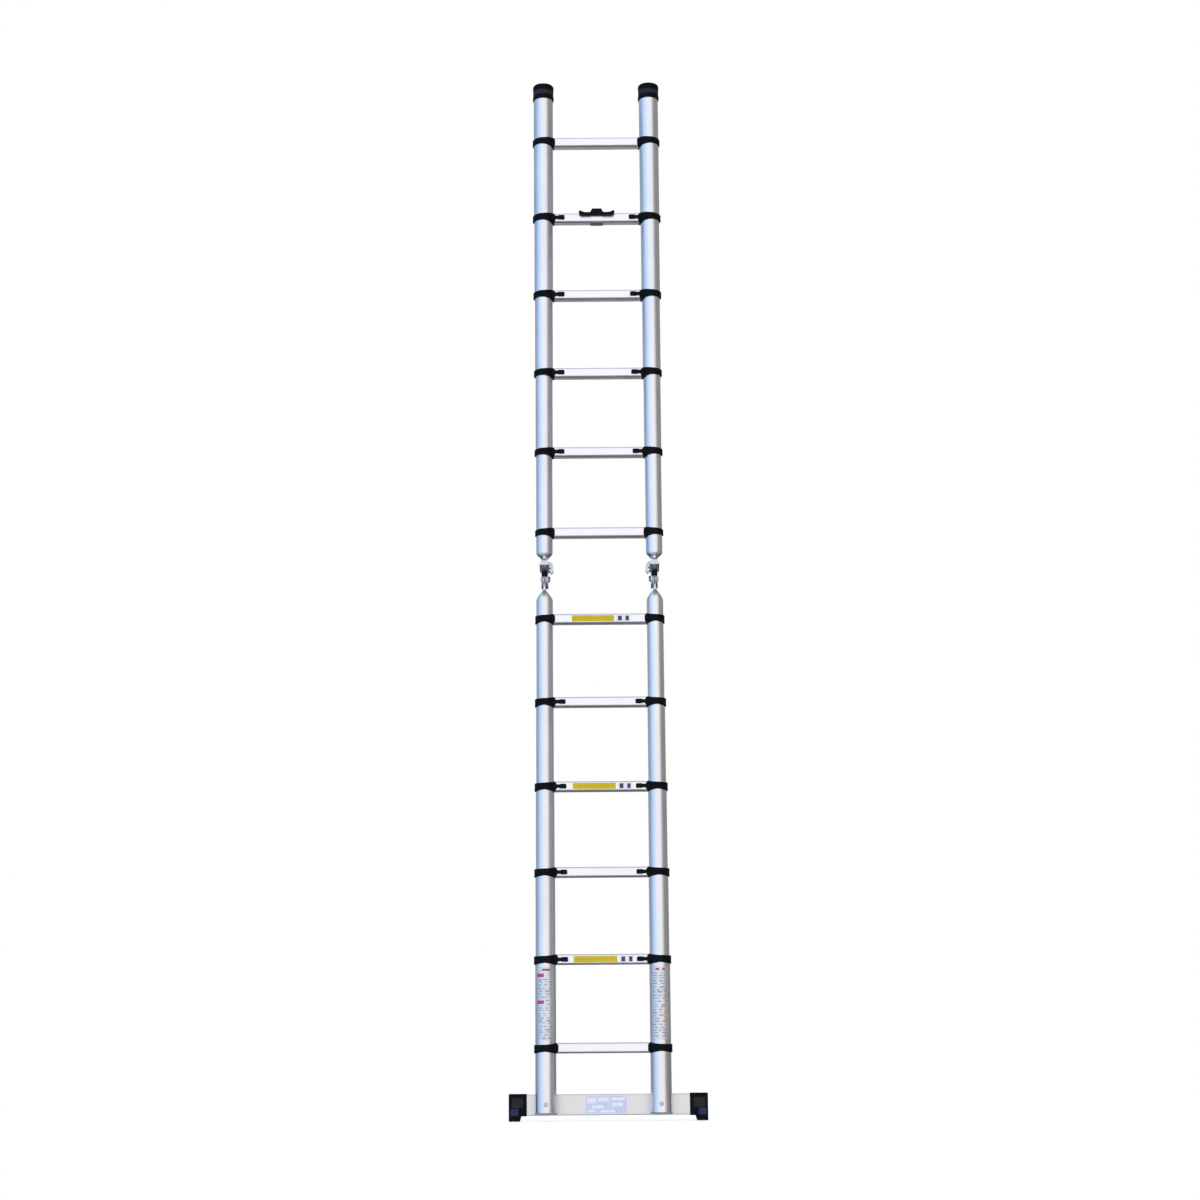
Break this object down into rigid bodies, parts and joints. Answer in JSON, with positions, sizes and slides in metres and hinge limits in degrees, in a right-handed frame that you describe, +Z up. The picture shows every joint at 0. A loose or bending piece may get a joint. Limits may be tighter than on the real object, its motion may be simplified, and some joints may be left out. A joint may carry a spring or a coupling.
{
  "type": "hinged telescopic ladder",
  "caption": "Aluminium telescopic ladder: nested-tube halves joined by locking hinges, opened out straight, with a stabiliser bar across its foot.",
  "frame": {"origin": "on the floor, midway between the axes of the two stiles", "axes": "+Z up along the stiles, -Y the side that is climbed and that carries the thumb slides, +X to the right seen from that side"},
  "size_m": [0.684, 0.1329, 3.793],
  "materials": {
    "tube_aluminium": "satin",
    "rung_aluminium": "satin",
    "bar_aluminium": "satin",
    "hinge_steel": "satin",
    "black_plastic": "satin",
    "button_plastic": "satin",
    "foot_rubber": "matte",
    "fastener_steel": "satin",
    "label_yellow": "satin",
    "label_white": "satin"
  },
  "bodies": {
    "base": {"lower_tube_1_left": "tube_aluminium", "lower_tube_1_right": "tube_aluminium", "rung_01": "rung_aluminium", "rung_02": "rung_aluminium", "stabiliser_bar": "bar_aluminium", "bar_foot_left": "foot_rubber", "bar_foot_right": "foot_rubber"},
    "lower_stage_2": {"lower_tube_2_left": "tube_aluminium", "lower_tube_2_right": "tube_aluminium", "rung_03": "rung_aluminium"},
    "lower_stage_3": {"lower_tube_3_left": "tube_aluminium", "lower_tube_3_right": "tube_aluminium", "rung_04": "rung_aluminium"},
    "lower_stage_4": {"lower_tube_4_left": "tube_aluminium", "lower_tube_4_right": "tube_aluminium", "rung_05": "rung_aluminium"},
    "lower_stage_5": {"lower_tube_5_left": "tube_aluminium", "lower_tube_5_right": "tube_aluminium", "rung_06": "rung_aluminium", "hinge_leaf_lower_left": "hinge_steel", "hinge_leaf_lower_right": "hinge_steel"},
    "upper_stage_5": {"upper_tube_5_left": "tube_aluminium", "upper_tube_5_right": "tube_aluminium", "rung_07": "rung_aluminium", "hinge_leaf_upper_left": "hinge_steel", "hinge_leaf_upper_right": "hinge_steel"},
    "upper_stage_4": {"upper_tube_4_left": "tube_aluminium", "upper_tube_4_right": "tube_aluminium", "rung_08": "rung_aluminium"},
    "upper_stage_3": {"upper_tube_3_left": "tube_aluminium", "upper_tube_3_right": "tube_aluminium", "rung_09": "rung_aluminium"},
    "upper_stage_2": {"upper_tube_2_left": "tube_aluminium", "upper_tube_2_right": "tube_aluminium", "rung_10": "rung_aluminium"},
    "upper_stage_1": {"upper_tube_1_left": "tube_aluminium", "upper_tube_1_right": "tube_aluminium", "rung_11": "rung_aluminium", "rung_12": "rung_aluminium", "end_cap_left": "black_plastic", "end_cap_right": "black_plastic"},
    "button_02_left": {"button_02_left": "button_plastic"},
    "button_02_right": {"button_02_right": "button_plastic"},
    "button_03_left": {"button_03_left": "button_plastic"},
    "button_03_right": {"button_03_right": "button_plastic"},
    "button_04_left": {"button_04_left": "button_plastic"},
    "button_04_right": {"button_04_right": "button_plastic"},
    "button_05_left": {"button_05_left": "button_plastic"},
    "button_05_right": {"button_05_right": "button_plastic"},
    "button_08_left": {"button_08_left": "button_plastic"},
    "button_08_right": {"button_08_right": "button_plastic"},
    "button_09_left": {"button_09_left": "button_plastic"},
    "button_09_right": {"button_09_right": "button_plastic"},
    "button_10_left": {"button_10_left": "button_plastic"},
    "button_10_right": {"button_10_right": "button_plastic"},
    "button_11_left": {"button_11_left": "button_plastic"},
    "button_11_right": {"button_11_right": "button_plastic"},
    "hinge_lock_left": {"hinge_lock_left": "hinge_steel"},
    "hinge_lock_right": {"hinge_lock_right": "hinge_steel"},
    "transport_latch": {"transport_latch": "black_plastic"}
  },
  "joints": [
    {"name": "lower_slide_2", "type": "slide", "parent": "base", "child": "lower_stage_2", "axis": [0, 0, -1], "range_m": [0, 0.244]},
    {"name": "lower_slide_3", "type": "slide", "parent": "lower_stage_2", "child": "lower_stage_3", "axis": [0, 0, -1], "range_m": [0, 0.244]},
    {"name": "lower_slide_4", "type": "slide", "parent": "lower_stage_3", "child": "lower_stage_4", "axis": [0, 0, -1], "range_m": [0, 0.244]},
    {"name": "lower_slide_5", "type": "slide", "parent": "lower_stage_4", "child": "lower_stage_5", "axis": [0, 0, -1], "range_m": [0, 0.244]},
    {"name": "fold", "type": "hinge", "parent": "lower_stage_5", "child": "upper_stage_5", "pos_m": [0, 0.052, 1.9045], "axis": [-1, 0, 0], "range_deg": [0, 180]},
    {"name": "upper_slide_4", "type": "slide", "parent": "upper_stage_5", "child": "upper_stage_4", "axis": [0, 0, -1], "range_m": [0, 0.244]},
    {"name": "upper_slide_3", "type": "slide", "parent": "upper_stage_4", "child": "upper_stage_3", "axis": [0, 0, -1], "range_m": [0, 0.244]},
    {"name": "upper_slide_2", "type": "slide", "parent": "upper_stage_3", "child": "upper_stage_2", "axis": [0, 0, -1], "range_m": [0, 0.244]},
    {"name": "upper_slide_1", "type": "slide", "parent": "upper_stage_2", "child": "upper_stage_1", "axis": [0, 0, -1], "range_m": [0, 0.244]},
    {"name": "button_02_left_slide", "type": "slide", "parent": "base", "child": "button_02_left", "axis": [1, 0, 0], "range_m": [0, 0.01], "stiffness_N_per_m": 300, "springref_m": -0.01},
    {"name": "button_02_right_slide", "type": "slide", "parent": "base", "child": "button_02_right", "axis": [-1, 0, 0], "range_m": [0, 0.01], "stiffness_N_per_m": 300, "springref_m": -0.01},
    {"name": "button_03_left_slide", "type": "slide", "parent": "lower_stage_2", "child": "button_03_left", "axis": [1, 0, 0], "range_m": [0, 0.01], "stiffness_N_per_m": 300, "springref_m": -0.01},
    {"name": "button_03_right_slide", "type": "slide", "parent": "lower_stage_2", "child": "button_03_right", "axis": [-1, 0, 0], "range_m": [0, 0.01], "stiffness_N_per_m": 300, "springref_m": -0.01},
    {"name": "button_04_left_slide", "type": "slide", "parent": "lower_stage_3", "child": "button_04_left", "axis": [1, 0, 0], "range_m": [0, 0.01], "stiffness_N_per_m": 300, "springref_m": -0.01},
    {"name": "button_04_right_slide", "type": "slide", "parent": "lower_stage_3", "child": "button_04_right", "axis": [-1, 0, 0], "range_m": [0, 0.01], "stiffness_N_per_m": 300, "springref_m": -0.01},
    {"name": "button_05_left_slide", "type": "slide", "parent": "lower_stage_4", "child": "button_05_left", "axis": [1, 0, 0], "range_m": [0, 0.01], "stiffness_N_per_m": 300, "springref_m": -0.01},
    {"name": "button_05_right_slide", "type": "slide", "parent": "lower_stage_4", "child": "button_05_right", "axis": [-1, 0, 0], "range_m": [0, 0.01], "stiffness_N_per_m": 300, "springref_m": -0.01},
    {"name": "button_08_left_slide", "type": "slide", "parent": "upper_stage_4", "child": "button_08_left", "axis": [1, 0, 0], "range_m": [0, 0.01], "stiffness_N_per_m": 300, "springref_m": -0.01},
    {"name": "button_08_right_slide", "type": "slide", "parent": "upper_stage_4", "child": "button_08_right", "axis": [-1, 0, 0], "range_m": [0, 0.01], "stiffness_N_per_m": 300, "springref_m": -0.01},
    {"name": "button_09_left_slide", "type": "slide", "parent": "upper_stage_3", "child": "button_09_left", "axis": [1, 0, 0], "range_m": [0, 0.01], "stiffness_N_per_m": 300, "springref_m": -0.01},
    {"name": "button_09_right_slide", "type": "slide", "parent": "upper_stage_3", "child": "button_09_right", "axis": [-1, 0, 0], "range_m": [0, 0.01], "stiffness_N_per_m": 300, "springref_m": -0.01},
    {"name": "button_10_left_slide", "type": "slide", "parent": "upper_stage_2", "child": "button_10_left", "axis": [1, 0, 0], "range_m": [0, 0.01], "stiffness_N_per_m": 300, "springref_m": -0.01},
    {"name": "button_10_right_slide", "type": "slide", "parent": "upper_stage_2", "child": "button_10_right", "axis": [-1, 0, 0], "range_m": [0, 0.01], "stiffness_N_per_m": 300, "springref_m": -0.01},
    {"name": "button_11_left_slide", "type": "slide", "parent": "upper_stage_1", "child": "button_11_left", "axis": [1, 0, 0], "range_m": [0, 0.01], "stiffness_N_per_m": 300, "springref_m": -0.01},
    {"name": "button_11_right_slide", "type": "slide", "parent": "upper_stage_1", "child": "button_11_right", "axis": [-1, 0, 0], "range_m": [0, 0.01], "stiffness_N_per_m": 300, "springref_m": -0.01},
    {"name": "hinge_lock_left_turn", "type": "hinge", "parent": "upper_stage_5", "child": "hinge_lock_left", "pos_m": [-0.18035, 0.036, 1.9585], "axis": [0, -1, 0], "range_deg": [0, 14], "stiffness_Nm_per_rad": 1.5, "springref_deg": -20.05},
    {"name": "hinge_lock_right_turn", "type": "hinge", "parent": "upper_stage_5", "child": "hinge_lock_right", "pos_m": [0.18035, 0.036, 1.9585], "axis": [0, 1, 0], "range_deg": [0, 14], "stiffness_Nm_per_rad": 1.5, "springref_deg": -20.05},
    {"name": "transport_latch_turn", "type": "hinge", "parent": "upper_stage_1", "child": "transport_latch", "pos_m": [0, 0.026, 3.287], "axis": [-1, 0, 0], "range_deg": [0, 90]}
  ]
}
